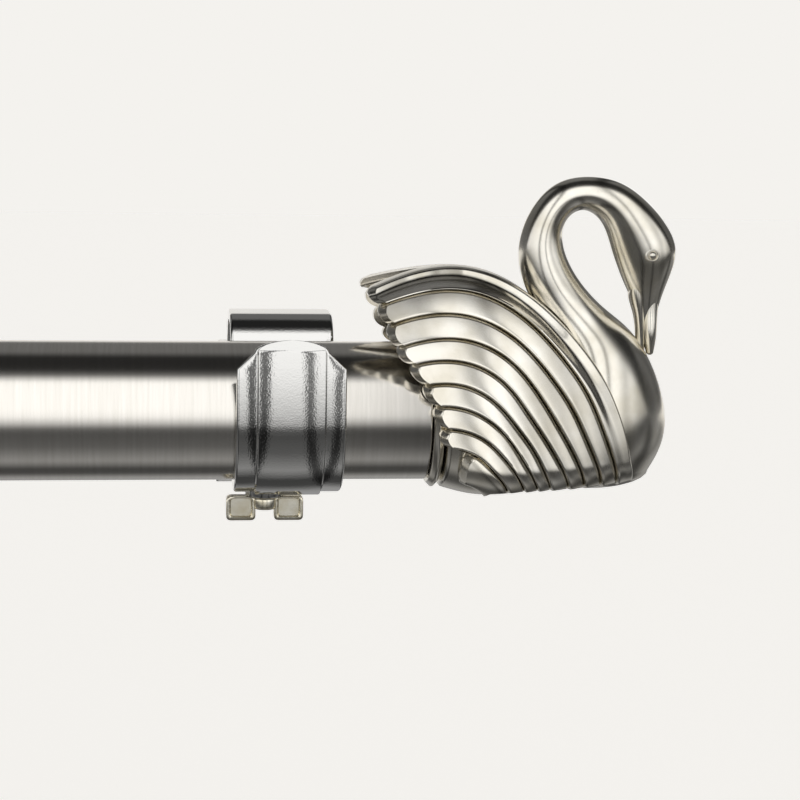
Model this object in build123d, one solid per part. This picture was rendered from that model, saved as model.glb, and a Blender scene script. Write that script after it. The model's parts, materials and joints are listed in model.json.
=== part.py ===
from build123d import *
from math import acos, asin, atan2, cos, degrees, radians, sin, sqrt
import os

# Double curtain rod: two telescoping rods in two stamped wall brackets, with swan finials.
# Millimetres. +X along the rods, +Y into the wall, +Z up. The wall is the plane Y = 0.
# The origin is the centre of the four wall screw holes.

# Rods
front_radius = 12.7
front_inner_radius = 11.1
rear_radius = 8.0
rear_inner_radius = 6.5
tube_wall = 0.8
front_half_length = 355.5
rear_half_length = 346.0
inner_tube_length = 650.0
front_mouth_reach = 14.0
rear_mouth_reach = 1.5
rod_depth_front = 95.0
rod_depth_rear = 45.0

# Brackets, with heights counted from the front rod's axis
bracket_spacing = 660.0
strap_width = 19.5
strap_thickness = 2.2
panel_width = 11.5
panel_rise = 0.6
front_cup_radius = 13.2
rear_cup_radius = 8.4
seat_gap = 0.02
crest_height = 15.1
crest_flat = 6.0
crest_bend = 5.4
leg_corner_height = 10.0
leg_shoulder = (4.0, 14.2)
leg_top_height = 14.7
wall_run_height = -2.1
wall_bend = 4.0
wall_hole_radius = 2.4
wall_hole_heights = (-12.5, -28.5)
tab_bottom = -34.5

# Wing screws
screw_offset = -3.8
screw_radius = 1.95
screw_bore_radius = 2.0
boss_radius = 3.6
boss_drop = 0.35
wing_half_span = 7.1
wing_height = 4.5
wing_thickness = 2.6
wing_notch = 1.7
wing_rim = 0.9
wing_recess = 0.4
hub_radius = 2.4
screw_gap = 0.05

# Bushes, plugs, studs and caps
fit_gap = 0.05
bush_length = 12.0
bush_flange = 1.0
plug_length = 18.0
stud_radius = 3.0
stud_in_plug = 15.0
stud_in_finial = 14.0
cap_length = 9.0
cap_dome = 4.0

# Swan finial, from the centre of the rod's end, facing away from it
collar_gap = 0.25
collar_radius = 14.2
collar_thickness = 2.2
fan_root = (3.3, -18.4)
# Radii of the lines between feathers, from the leaf's lower edge out to the shoulder, one row per fan angle
feather_lines = {
    114: (7.0, 14.9, 18.2, 22.2, 26.2, 30.0, 33.6, 37.8, 41.8, 44.4),
    100: (7.0, 14.7, 18.1, 22.1, 26.1, 30.1, 33.8, 38.1, 42.0, 44.9),
    86: (6.7, 14.3, 17.7, 21.6, 25.6, 29.7, 33.6, 37.8, 42.0, 45.4),
    72: (6.4, 13.7, 17.0, 20.4, 23.8, 27.8, 31.7, 35.6, 39.7, 43.8),
    58: (6.0, 12.8, 15.9, 18.9, 21.5, 24.8, 28.6, 32.5, 36.5, 40.6),
    44: (5.8, 12.3, 15.2, 17.6, 20.2, 23.1, 26.4, 30.3, 34.2, 37.0),
    31: (5.7, 12.1, 14.9, 17.2, 19.5, 22.6, 25.7, 29.0, 32.5, 34.6),
    18: (5.7, 12.1, 14.9, 17.2, 19.5, 22.8, 25.7, 28.9, 32.0, 34.0),
}
wing_half_width = 16.2
# How the wings fold in towards the top: the height where it starts, and the run it takes
wing_lean = (6.0, 24.0)
wing_thickness_cast = 3.4
rod_clearance = 0.5
feather_bulge = 0.8
tip_angles = (96.0, 97.0, 99.5, 102.5, 105.5, 108.0, 108.5, 109.0, 109.8)

# Torso: X, Z, half-height, half-width
body_sections = (
    (1.8, -0.8, 13.4, 13.2),
    (8.0, -1.2, 14.2, 13.8),
    (17.0, -0.8, 14.6, 13.6),
    (29.0, -0.8, 12.0, 10.0),
)
# Breast, neck and head: X, Z, heading in degrees, half-width in the plane of the bird, half-width across
neck_sections = (
    (30.0, -14.4, 90, 7.5, 6.5),
    (31.0, -12.2, 90, 10.8, 9.4),
    (31.6, -8.0, 90, 12.7, 11.4),
    (31.8, -2.0, 93, 13.7, 12.2),
    (31.4, 4.0, 104, 12.3, 11.4),
    (30.3, 9.5, 122, 9.8, 9.2),
    (28.8, 14.6, 127, 6.6, 6.6),
    (26.0, 19.4, 122, 5.0, 5.0),
    (22.3, 25.3, 110, 4.6, 4.5),
    (20.9, 30.6, 94, 4.1, 4.1),
    (22.2, 36.3, 64, 3.3, 3.7),
    (25.2, 39.5, 28, 3.1, 3.5),
    (28.9, 40.4, -3, 3.05, 3.5),
    (33.4, 39.0, -25, 3.85, 3.9),
    (36.9, 35.6, -45, 4.85, 4.4),
    (39.4, 31.9, -60, 5.6, 4.6),
    (41.0, 27.8, -70, 5.6, 4.4),
    (41.4, 23.9, -80, 4.2, 3.5),
    (41.3, 21.0, -88, 2.5, 2.3),
)
beak_sections = (
    (42.1, 23.5, -88, 1.9, 2.0),
    (41.85, 18.9, -88, 1.75, 1.5),
    (41.9, 13.3, -87, 1.25, 1.1),
    (42.3, 10.2, -86, 0.7, 0.7),
)
throat_sections = (
    (38.8, 23.5, -74, 2.0, 1.6),
    (39.6, 18.5, -83, 1.2, 1.1),
    (40.2, 14.5, -88, 0.95, 0.9),
    (40.4, 10.5, -90, 0.9, 0.9),
)
eye_place = (40.8, 3.9, 29.6)
eye_radius = 1.0

# Places that follow from the sizes above
front_axis_z = -(wall_hole_heights[0] + wall_hole_heights[1]) / 2
cradle_floor = front_axis_z - front_radius - seat_gap
rear_axis_z = cradle_floor + seat_gap + rear_radius
mid_front = front_cup_radius + strap_thickness / 2
mid_rear = rear_cup_radius + strap_thickness / 2
front_axis = (0, -rod_depth_front, front_axis_z)
rear_axis = (0, -rod_depth_rear, rear_axis_z)
boss_floor = cradle_floor - strap_thickness - panel_rise - boss_drop


def bird_section(x, z, heading, half_in, half_across):
    tangent = Vector(cos(radians(heading)), 0, sin(radians(heading)))
    side = Vector(-tangent.Z, 0, tangent.X)
    plane = Plane(origin=(x, 0, z), x_dir=side, z_dir=tangent)
    return (plane * Ellipse(half_in, half_across)).wire()


def wing_surface(x, z):
    """Half the bird's width over the wings: less towards the breast, the belly and the folded top."""
    forward = max(0.0, x - 8.0) / 40.0
    under = max(0.0, 2.0 - z) / 18.0
    lean_start, lean_run = wing_lean
    spread = min(1.0, max(0.0, (x + 12.0) / 10.0))
    over = max(0.0, z - lean_start) / lean_run
    return wing_half_width * sqrt(max(0.1, 1.0 - forward**2 - under**2 - spread * over**2))


def fan_point(radius, angle):
    return fan_root[0] + radius * cos(radians(angle)), fan_root[1] + radius * sin(radians(angle))


def wing_section(angle, radii):
    """One scalloped slice through all nine feathers, on a plane that swings about the fan's root."""

    def place(radius, extra):
        x, z = fan_point(radius, angle)
        return Vector(x, -(wing_surface(x, z) + extra), z)

    edges = []
    for low, high in zip(radii, radii[1:]):
        shoulder = high == radii[-1]
        bulge = feather_bulge * (1.5 if shoulder else 1.0)
        start = place(low, 0.0)
        middle = place((low + high) / 2, bulge)
        finish = place(high, -1.2 if shoulder else 0.0)
        edges.append(ThreePointArc(start, middle, finish))
    inside = [place(radii[index], -wing_thickness_cast) for index in (-1, -3, 5, 0)]
    corners = [edges[-1] @ 1] + inside + [edges[0] @ 0]
    edges += [Line(first, second) for first, second in zip(corners, corners[1:])]
    return Wire([edge.edge() for edge in edges])


def tip_outline():
    """Everything in front of the rounded feather tips, as one face to keep by intersection."""
    radii = next(iter(feather_lines.values()))
    angles = (tip_angles[0],) + tip_angles
    points = []
    for radius, angle in zip(radii, angles):
        x, z = fan_point(radius, angle)
        points.append(Vector(x, 0, z))
    edges = []
    for index, (low, high) in enumerate(zip(points, points[1:])):
        radius = (radii[index] + radii[index + 1]) / 2
        swing = degrees(0.3 * (radii[index + 1] - radii[index]) / radius)
        x, z = fan_point(radius, (angles[index] + angles[index + 1]) / 2 + swing)
        edges.append(ThreePointArc(low, Vector(x, 0, z), high))
    far = 60.0
    corners = [
        points[-1],
        Vector(points[-1].X, 0, far),
        Vector(far, 0, far),
        Vector(far, 0, -far / 2),
        Vector(points[0].X, 0, -far / 2),
        points[0],
    ]
    edges += [Line(first, second) for first, second in zip(corners, corners[1:])]
    return Face(Wire([edge.edge() for edge in edges]))


def make_wing():
    sections = [wing_section(angle, radii) for angle, radii in feather_lines.items()]
    fan = Solid.make_loft(sections)
    keep = extrude(tip_outline(), amount=30, dir=(0, -1, 0))
    return fan & keep


def make_swan():
    """One casting: body, breast, neck and head, beak, two feathered wings, base collar and stud hole."""
    body = Solid.make_loft([bird_section(x, z, 0, a, b) for x, z, a, b in body_sections])
    neck = Solid.make_loft([bird_section(*section) for section in neck_sections])
    beak = Solid.make_loft([bird_section(*section) for section in beak_sections])
    throat = Solid.make_loft([bird_section(*section) for section in throat_sections])
    near = make_wing()
    swan = body + neck + beak + throat + near + mirror(near, Plane.XZ)
    for side in (-1, 1):
        swan += Pos(eye_place[0], side * eye_place[1], eye_place[2]) * Sphere(eye_radius)
    swan -= along_x(front_radius + rod_clearance, -30.0, collar_gap)
    middle = (collar_gap + collar_thickness) / 2
    rim = Polyline(
        (collar_gap, 0),
        (collar_gap, front_radius + rod_clearance),
        (middle, collar_radius),
        (collar_thickness, front_radius + rod_clearance),
        (collar_thickness + 1.0, 0),
        close=True,
    )
    swan += revolve(Plane.XY * make_face(rim), axis=Axis.X)
    swan -= along_x(stud_radius + fit_gap, -1.0, stud_in_finial + 1.0)
    return swan


def along_x(radius, start, finish):
    """A round bar about the X axis, from start to finish."""
    return Pos((start + finish) / 2, 0, 0) * Rot(0, 90, 0) * Cylinder(radius, finish - start)


def ring_x(outer, inner, start, finish):
    return along_x(outer, start, finish) - along_x(inner, start - 1, finish + 1)


def strap_route():
    """The strap's mid-line as straight runs and turns, from the front leg's top to the wall tab's foot."""
    cup_front_z = cradle_floor + front_cup_radius
    cup_rear_z = cradle_floor + rear_cup_radius
    crest_z = front_axis_z + crest_height - strap_thickness / 2
    run_z = front_axis_z + wall_run_height
    bend_y = -rod_depth_front + mid_front + crest_bend + crest_flat
    across = -rod_depth_rear - bend_y
    down = cup_rear_z - (crest_z - crest_bend)
    reach = sqrt(across**2 + down**2)
    slope = degrees(atan2(-down, across)) + degrees(asin((crest_bend + mid_rear) / reach))
    fall = sqrt(reach**2 - (crest_bend + mid_rear) ** 2)
    rise = degrees(acos((cup_rear_z + wall_bend - run_z) / (mid_rear + wall_bend)))
    wall_run_start = -rod_depth_rear + (mid_rear + wall_bend) * sin(radians(rise))
    wall_run = -strap_thickness / 2 - wall_bend - wall_run_start
    cradle = [
        ("run", front_axis_z + leg_top_height - cup_front_z),
        ("turn", mid_front, 180),
        ("run", crest_z - crest_bend - cup_front_z),
    ]
    rest = [
        ("turn", crest_bend, -90),
        ("run", crest_flat),
        ("turn", crest_bend, -slope),
        ("run", fall),
        ("turn", mid_rear, slope + rise),
        ("turn", wall_bend, -rise),
        ("run", wall_run),
        ("turn", wall_bend, -90),
        ("run", run_z - wall_bend - front_axis_z - tab_bottom),
    ]
    return cradle, rest


def strap_line(moves, offset):
    """Edges of the route moved sideways by offset, positive away from the rods."""
    place = Vector(-rod_depth_front - mid_front - offset, front_axis_z + leg_top_height)
    heading = -90.0
    edges = []
    for move in moves:
        direction = Vector(cos(radians(heading)), sin(radians(heading)))
        if move[0] == "run":
            edges.append(Line(place, place + direction * move[1]))
        else:
            radius = move[1] + (offset if move[2] > 0 else -offset)
            edges.append(JernArc(start=place, tangent=direction, radius=radius, arc_size=move[2]))
            heading += move[2]
        place = edges[-1] @ 1
    return edges


def strap_sheet(moves, inner, outer, width):
    """The sheet between two offsets of the route, folded in the YZ plane and as wide as asked along X."""
    first = strap_line(moves, inner)
    second = strap_line(moves, outer)
    closing = [Line(first[0] @ 0, second[0] @ 0), Line(first[-1] @ 1, second[-1] @ 1)]
    outline = Wire([edge.edge() for edge in first + second + closing])
    return extrude(Plane.YZ * Face(outline), amount=width / 2, both=True)


def leg_top_waste():
    """What the stamping tool takes off the corners of the front leg."""
    edge = strap_width / 2
    corner = front_axis_z + leg_corner_height
    shoulder = front_axis_z + leg_shoulder[1]
    top = front_axis_z + leg_top_height
    arch = [
        Line((-edge, corner), (-leg_shoulder[0], shoulder)),
        ThreePointArc((-leg_shoulder[0], shoulder), (0, top), (leg_shoulder[0], shoulder)),
        Line((leg_shoulder[0], shoulder), (edge, corner)),
        Line((edge, corner), (edge + 1, corner)),
        Line((edge + 1, corner), (edge + 1, top + 1)),
        Line((edge + 1, top + 1), (-edge - 1, top + 1)),
        Line((-edge - 1, top + 1), (-edge - 1, corner)),
        Line((-edge - 1, corner), (-edge, corner)),
    ]
    waste = Face(Wire([line.edge() for line in arch]))
    depth = mid_front + strap_thickness + panel_rise
    return Pos(0, -rod_depth_front - depth, 0) * extrude(Plane.XZ * waste, amount=-depth + 8)


def make_bracket():
    """One stamped strap: wall tab, rear cradle, crest, front cradle with its raised panel, front leg."""
    cradle, rest = strap_route()
    half = strap_thickness / 2
    strap = strap_sheet(cradle + rest, -half, half, strap_width)
    strap -= strap_sheet(cradle, -half - 1, -half + panel_rise, panel_width)
    strap += strap_sheet(cradle, 0, half + panel_rise, panel_width)
    strap -= leg_top_waste()
    for depth in (rod_depth_front, rod_depth_rear):
        height = cradle_floor - 1.0 - boss_floor
        boss = Pos(screw_offset, -depth, boss_floor + height / 2) * Cylinder(boss_radius, height)
        strap += boss
        strap -= Pos(screw_offset, -depth, cradle_floor - 2) * Cylinder(screw_bore_radius, 8)
    for height in wall_hole_heights:
        place = Pos(0, -strap_thickness / 2, front_axis_z + height)
        strap -= place * Rot(90, 0, 0) * Cylinder(wall_hole_radius, 3 * strap_thickness)
    return strap


def make_wing_screw():
    """A die-cast screw, its axis on Z and its tip's top at the origin, with two rimmed wings below."""
    wing_top = boss_floor - cradle_floor - seat_gap - fit_gap * 3
    wing_floor = wing_top - wing_height
    shank_length = screw_gap - wing_top
    shank = Pos(0, 0, -screw_gap - shank_length / 2) * Cylinder(screw_radius, shank_length)
    profile = RectangleRounded(2 * wing_half_span, wing_height, 0.9)
    blade = extrude(Plane.XZ * profile, amount=wing_thickness / 2, both=True)
    notch_height = wing_height * 0.62
    notch = Pos(0, 0, -wing_height / 2) * Box(2 * wing_notch, 2 * wing_thickness, 2 * notch_height)
    blade -= notch
    panel_width_each = wing_half_span - wing_notch - 2 * wing_rim
    for side in (-1, 1):
        for face in (-1, 1):
            middle = side * (wing_notch + wing_half_span) / 2
            panel = Box(panel_width_each, 2 * wing_recess, wing_height - wing_rim - 0.3)
            blade -= Pos(middle, face * wing_thickness / 2, wing_rim / 2) * panel
    blade = Pos(0, 0, (wing_top + wing_floor) / 2) * blade
    hub_height = wing_height * 0.55
    hub = Pos(0, 0, wing_top - hub_height / 2) * Cylinder(hub_radius, hub_height)
    return fillet(hub.edges().sort_by(Axis.Z)[:1], 0.8) + blade + shank


def make_plug(radius):
    plug = along_x(radius, -plug_length, 0)
    return plug - along_x(stud_radius + 0.02, -stud_in_plug - 1, 1)


def make_bush(outer, inner, flange_radius):
    """A bush in a tube's mouth, its flange outside the end at X = 0, facing -X."""
    bush = along_x(outer, 0, bush_length) + along_x(flange_radius, -bush_flange, 0)
    return bush - along_x(inner, -bush_flange - 1, bush_length + 1)


def make_cap(plug_radius, dome_radius):
    """An end cap whose dome faces +X from the tube's end at X = 0."""
    dome_sphere = (dome_radius**2 + cap_dome**2) / (2 * cap_dome)
    profile = [
        Line((-cap_length, 0), (-cap_length, plug_radius)),
        Line((-cap_length, plug_radius), (0, plug_radius)),
        Line((0, plug_radius), (0, dome_radius)),
        RadiusArc((0, dome_radius), (cap_dome, 0), dome_sphere),
        Line((cap_dome, 0), (-cap_length, 0)),
    ]
    return revolve(Face(Wire([line.edge() for line in profile])), axis=Axis.X)


def build_rod():
    """Every sub-part by name, in place."""
    parts = {}
    front = Pos(*front_axis)
    rear = Pos(*rear_axis)
    bracket = make_bracket()
    screw = make_wing_screw()
    for side, name in ((-1, "left"), (1, "right")):
        place = Pos(side * bracket_spacing / 2, 0, 0)
        parts[name + "_bracket"] = place * bracket
        for depth, rod in ((rod_depth_front, "front"), (rod_depth_rear, "rear")):
            tip = Pos(screw_offset, -depth, cradle_floor + seat_gap)
            parts[f"{name}_{rod}_wing_screw"] = place * tip * screw
    inner_end = -front_half_length - front_mouth_reach
    outer_bore = front_radius - tube_wall
    parts["front_outer_tube"] = front * ring_x(
        front_radius, outer_bore, -front_half_length, front_half_length
    )
    parts["front_mouth_bush"] = front * Pos(-front_half_length, 0, 0) * make_bush(
        outer_bore - fit_gap / 2, front_inner_radius + fit_gap, front_radius
    )
    inner_bore = front_inner_radius - tube_wall
    slide_end = inner_end + inner_tube_length
    parts["front_inner_tube"] = front * ring_x(front_inner_radius, inner_bore, inner_end, slide_end)
    parts["front_slide_bush"] = front * ring_x(
        outer_bore - fit_gap, front_inner_radius + fit_gap / 2, slide_end - bush_length, slide_end
    )
    rear_end = -rear_half_length - rear_mouth_reach
    rear_bore = rear_radius - tube_wall
    parts["rear_outer_tube"] = rear * ring_x(rear_radius, rear_bore, -rear_half_length, rear_half_length)
    parts["rear_mouth_bush"] = rear * Pos(-rear_half_length, 0, 0) * make_bush(
        rear_bore - fit_gap / 2, rear_inner_radius + fit_gap, rear_radius
    )
    rear_inner_bore = rear_inner_radius - tube_wall
    rear_slide_end = rear_end + inner_tube_length
    parts["rear_inner_tube"] = rear * ring_x(rear_inner_radius, rear_inner_bore, rear_end, rear_slide_end)
    parts["rear_slide_bush"] = rear * ring_x(
        rear_bore - fit_gap, rear_inner_radius + fit_gap / 2, rear_slide_end - bush_length, rear_slide_end
    )
    swan = make_swan()
    stud = along_x(stud_radius, -stud_in_plug, stud_in_finial)
    right_end = front * Pos(front_half_length, 0, 0)
    left_end = front * Pos(inner_end, 0, 0)
    parts["right_swan_finial"] = right_end * swan
    parts["right_finial_stud"] = right_end * stud
    parts["right_finial_plug"] = right_end * make_plug(outer_bore - fit_gap / 2)
    parts["left_swan_finial"] = left_end * mirror(swan, Plane.YZ)
    parts["left_finial_stud"] = left_end * mirror(stud, Plane.YZ)
    parts["left_finial_plug"] = left_end * mirror(make_plug(inner_bore - fit_gap / 2), Plane.YZ)
    right_cap = make_cap(rear_bore - fit_gap / 2, rear_radius)
    parts["rear_right_cap"] = rear * Pos(rear_half_length, 0, 0) * right_cap
    left_cap = mirror(make_cap(rear_inner_bore - fit_gap / 2, rear_inner_radius), Plane.YZ)
    parts["rear_left_cap"] = rear * Pos(rear_end, 0, 0) * left_cap
    return parts


os.makedirs("parts", exist_ok=True)
for name, shape in build_rod().items():
    export_step(shape, f"parts/{name}.step")
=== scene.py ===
import bpy
import bmesh
import json
import math
import numpy as np
from mathutils import Matrix, Quaternion, Vector


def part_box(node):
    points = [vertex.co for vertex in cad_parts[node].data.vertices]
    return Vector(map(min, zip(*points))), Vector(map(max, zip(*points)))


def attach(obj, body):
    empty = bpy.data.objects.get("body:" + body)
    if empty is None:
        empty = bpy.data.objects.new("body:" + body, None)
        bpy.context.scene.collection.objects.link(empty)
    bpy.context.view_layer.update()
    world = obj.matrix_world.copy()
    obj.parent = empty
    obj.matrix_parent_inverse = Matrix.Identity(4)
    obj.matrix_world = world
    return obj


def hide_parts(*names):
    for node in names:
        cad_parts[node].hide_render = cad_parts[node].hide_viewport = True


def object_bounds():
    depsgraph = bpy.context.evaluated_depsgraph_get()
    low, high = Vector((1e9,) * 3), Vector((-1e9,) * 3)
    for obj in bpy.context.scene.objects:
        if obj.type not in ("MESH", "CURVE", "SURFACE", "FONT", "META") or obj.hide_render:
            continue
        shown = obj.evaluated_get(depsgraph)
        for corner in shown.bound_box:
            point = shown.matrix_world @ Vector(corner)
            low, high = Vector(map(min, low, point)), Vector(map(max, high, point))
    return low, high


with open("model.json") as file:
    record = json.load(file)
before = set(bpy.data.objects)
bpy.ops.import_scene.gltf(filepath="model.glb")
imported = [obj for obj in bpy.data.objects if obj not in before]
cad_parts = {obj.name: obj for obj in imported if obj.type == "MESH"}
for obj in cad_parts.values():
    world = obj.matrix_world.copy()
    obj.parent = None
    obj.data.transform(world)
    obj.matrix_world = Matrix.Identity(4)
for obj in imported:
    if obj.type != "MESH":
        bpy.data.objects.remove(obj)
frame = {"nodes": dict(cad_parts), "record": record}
cadLow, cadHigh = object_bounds()
mm = 0.001
collection = bpy.context.scene.collection


# Places read from the frame: the two rods' axes and the ends that carry a swan
def tubeOf(node):
    low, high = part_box(node)
    return dict(start=low.x, end=high.x, axis=Vector((0, (low.y + high.y) / 2, (low.z + high.z) / 2)),
                radius=(high.z - low.z) / 2)


frontTube = tubeOf("front_outer_tube")
rearTube = tubeOf("rear_outer_tube")
frontInner = tubeOf("front_inner_tube")
rightEnd = Vector((frontTube["end"], 0, 0)) + frontTube["axis"]
leftEnd = Vector((frontInner["start"], 0, 0)) + frontTube["axis"]
print("frame read")


# Colours and nodes
def linear(hexColour):
    values = [int(hexColour[i:i + 2], 16) / 255 for i in (1, 3, 5)]
    return tuple(v / 12.92 if v <= 0.04045 else ((v + 0.055) / 1.055) ** 2.4 for v in values) + (1.0,)


# Links into a node's inputs. A node in the place of a source stands for its first output.
def feed(tree, node, links):
    for name, source in links.items():
        output = source.outputs[0] if isinstance(source, bpy.types.Node) else source
        tree.links.new(output, node.inputs[name])


def addNode(tree, kind, settings=None, values=None, links=None, stops=()):
    node = tree.nodes.new(kind)
    for name, value in (settings or {}).items():
        setattr(node, name, value)
    for name, value in (values or {}).items():
        node.inputs[name].default_value = value
    feed(tree, node, links or {})
    for index, (position, colour) in enumerate(stops):  # a new ramp already has two stops
        elements = node.color_ramp.elements
        element = elements[index] if index < 2 else elements.new(position)
        element.position = position
        element.color = colour
    return node


def startMaterial(name, values):
    material = bpy.data.materials.new(name)
    material.use_nodes = True
    tree = material.node_tree
    shader = tree.nodes["Principled BSDF"]
    for key, value in values.items():
        shader.inputs[key].default_value = value
    return material, tree, shader


def perMetre(sizeMm):
    return 1.0 / (sizeMm * mm)


# A noise on the piece's own coordinates, its grain sizes in mm along X, Y and Z
def grainOn(tree, sizes, detail=2.0):
    coords = addNode(tree, "ShaderNodeTexCoord")
    mapping = addNode(tree, "ShaderNodeMapping", None, {"Scale": [perMetre(size) for size in sizes]},
                      {"Vector": coords.outputs["Object"]})
    return addNode(tree, "ShaderNodeTexNoise", None, {"Scale": 1.0, "Detail": detail}, {"Vector": mapping})


# Satin nickel on drawn steel tube: fine polishing lines round the tube, drawn coarser than real so they show
rodFinish = dict(base="#f0ece5", worn="#e7e3db", roughness=0.17, lineMm=0.6, lengthMm=14.0, depthMm=0.0007,
                 strength=0.5)


def satinNickelTube():
    finish = rodFinish
    material, tree, shader = startMaterial("satinNickelTube",
                                           {"Metallic": 1.0, "Roughness": finish["roughness"]})
    polish = grainOn(tree, (finish["lineMm"], finish["lengthMm"], finish["lengthMm"]), 4.0)
    colour = addNode(tree, "ShaderNodeValToRGB", links={"Fac": polish},
                     stops=((0.3, linear(finish["worn"])), (0.7, linear(finish["base"]))))
    bump = addNode(tree, "ShaderNodeBump", None,
                   {"Strength": finish["strength"], "Distance": finish["depthMm"] * mm}, {"Height": polish})
    feed(tree, shader, {"Base Color": colour, "Normal": bump})
    return material


# Chrome on stamped steel: nearly a mirror, with the strip's rolling streaks, an orange peel and fine specks
chromeFinish = dict(base="#e0dfdc", roughness=0.06, streakMm=0.9, streakLengthMm=22.0, peelMm=1.8,
                    peelShare=0.5, speckMm=0.3, speckShare=0.36, depthMm=0.035)


def chromedSteel():
    finish = chromeFinish
    values = {"Metallic": 1.0, "Base Color": linear(finish["base"]), "Roughness": finish["roughness"]}
    material, tree, shader = startMaterial("chromedSteel", values)
    streaks = grainOn(tree, (finish["streakMm"], finish["streakLengthMm"], finish["streakLengthMm"]), 3.0)
    peel = grainOn(tree, (finish["peelMm"],) * 3)
    specks = grainOn(tree, (finish["speckMm"],) * 3, 1.0)
    soft = addNode(tree, "ShaderNodeMix", None, {"Factor": finish["peelShare"]}, {"A": streaks, "B": peel})
    both = addNode(tree, "ShaderNodeMix", None, {"Factor": finish["speckShare"]}, {"A": soft, "B": specks})
    bump = addNode(tree, "ShaderNodeBump", None, {"Strength": 1.0, "Distance": finish["depthMm"] * mm},
                   {"Height": both})
    feed(tree, shader, {"Normal": bump})
    return material


# Satin nickel on die-cast zinc: warm and soft, a little cloudy from hand buffing
castFinish = dict(name="satinNickelCasting", base="#f6f2e8", low="#e2dccd", roughness=0.2, cloudMm=6.0,
                  strokeMm=0.6, depthMm=0.012)
# Bare-bright nickel over brass flash on the wing screws: paler yellow, with sandy casting skin
screwFinish = dict(name="warmNickelCasting", base="#fffaea", low="#efe6cc", roughness=0.24, cloudMm=2.5,
                   strokeMm=0.35, depthMm=0.02)
# Zinc plating on rolled thread: bluish grey and slightly dull
studFinish = dict(name="zincPlatedThread", base="#b9bcc0", low="#8f9296", roughness=0.3, cloudMm=3.0,
                  strokeMm=0.4, depthMm=0.006)
# What the three share: how much of the relief is strokes, and how deep it reads
buffing = dict(strokeShare=0.25, strength=0.6)


def buffedCasting(finish):
    material, tree, shader = startMaterial(finish["name"],
                                           {"Metallic": 1.0, "Roughness": finish["roughness"]})
    cloud = grainOn(tree, (finish["cloudMm"],) * 3, 3.0)
    stroke = grainOn(tree, (finish["strokeMm"],) * 3, 3.0)
    colour = addNode(tree, "ShaderNodeValToRGB", links={"Fac": cloud},
                     stops=((0.3, linear(finish["low"])), (0.65, linear(finish["base"]))))
    height = addNode(tree, "ShaderNodeMix", None, {"Factor": buffing["strokeShare"]},
                     {"A": cloud, "B": stroke})
    bump = addNode(tree, "ShaderNodeBump", None,
                   {"Strength": buffing["strength"], "Distance": finish["depthMm"] * mm}, {"Height": height})
    feed(tree, shader, {"Base Color": colour, "Normal": bump})
    return material


# Moulded nylon: dark, half matt, with the mould's fine spark texture
nylonFinish = dict(base="#1d1e20", roughness=0.45, ior=1.53, grainMm=0.5, depthMm=0.01, strength=0.3)


def mouldedNylon():
    finish = nylonFinish
    values = {"Base Color": linear(finish["base"]), "Roughness": finish["roughness"], "IOR": finish["ior"]}
    material, tree, shader = startMaterial("mouldedNylon", values)
    bump = addNode(tree, "ShaderNodeBump", None,
                   {"Strength": finish["strength"], "Distance": finish["depthMm"] * mm},
                   {"Height": grainOn(tree, (finish["grainMm"],) * 3)})
    feed(tree, shader, {"Normal": bump})
    return material


tubeMaterial = satinNickelTube()
nylonMaterial = mouldedNylon()
finishes = {
    "rod": tubeMaterial,
    "cap": tubeMaterial,
    "bracket": chromedSteel(),
    "finial": buffedCasting(castFinish),
    "wing_screw": buffedCasting(screwFinish),
    "stud": buffedCasting(studFinish),
    "bush": nylonMaterial,
    "plug": nylonMaterial,
}
slotOfNode = {part["node"]: part["material_slot"] for part in frame["record"]["subparts"]}
for nodeName, cadPiece in frame["nodes"].items():
    cadPiece.data.materials.clear()
    cadPiece.data.materials.append(finishes[slotOfNode[nodeName]])
print("materials made:", len(set(finishes.values())))


# Mesh work
def addMesh(work, points, faces):
    made = [work.verts.new(point) for point in points]
    for face in faces:
        work.faces.new([made[index] for index in face])


# Sharp edges stay sharp past the angle, everything else shades smooth
def finishMesh(name, work, slotName, angle=40.0):
    bmesh.ops.remove_doubles(work, verts=work.verts, dist=2e-7)
    bmesh.ops.dissolve_degenerate(work, edges=work.edges, dist=1e-7)
    bmesh.ops.recalc_face_normals(work, faces=work.faces)
    for edge in work.edges:
        edge.smooth = len(edge.link_faces) == 2 and edge.calc_face_angle(0.0) < math.radians(angle)
    for face in work.faces:
        face.smooth = True
        face.material_index = 0
    mesh = bpy.data.meshes.new(name)
    work.to_mesh(mesh)
    work.free()
    mesh.materials.append(finishes[slotName])
    item = bpy.data.objects.new(name, mesh)
    collection.objects.link(item)
    return item


def replaceNode(item, node, body):
    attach(item, body)
    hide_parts(node)


# A closed tube of rings, each ring the same count of points
def ringLoft(rings):
    count = len(rings[0])
    points = [point for ring in rings for point in ring]
    faces = []
    for i in range(len(rings) - 1):
        for j in range(count):
            k = (j + 1) % count
            faces.append((i * count + j, i * count + k, (i + 1) * count + k, (i + 1) * count + j))
    last = (len(rings) - 1) * count
    faces.append(tuple(range(count))[::-1])
    faces.append(tuple(last + j for j in range(count)))
    return points, faces


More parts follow.
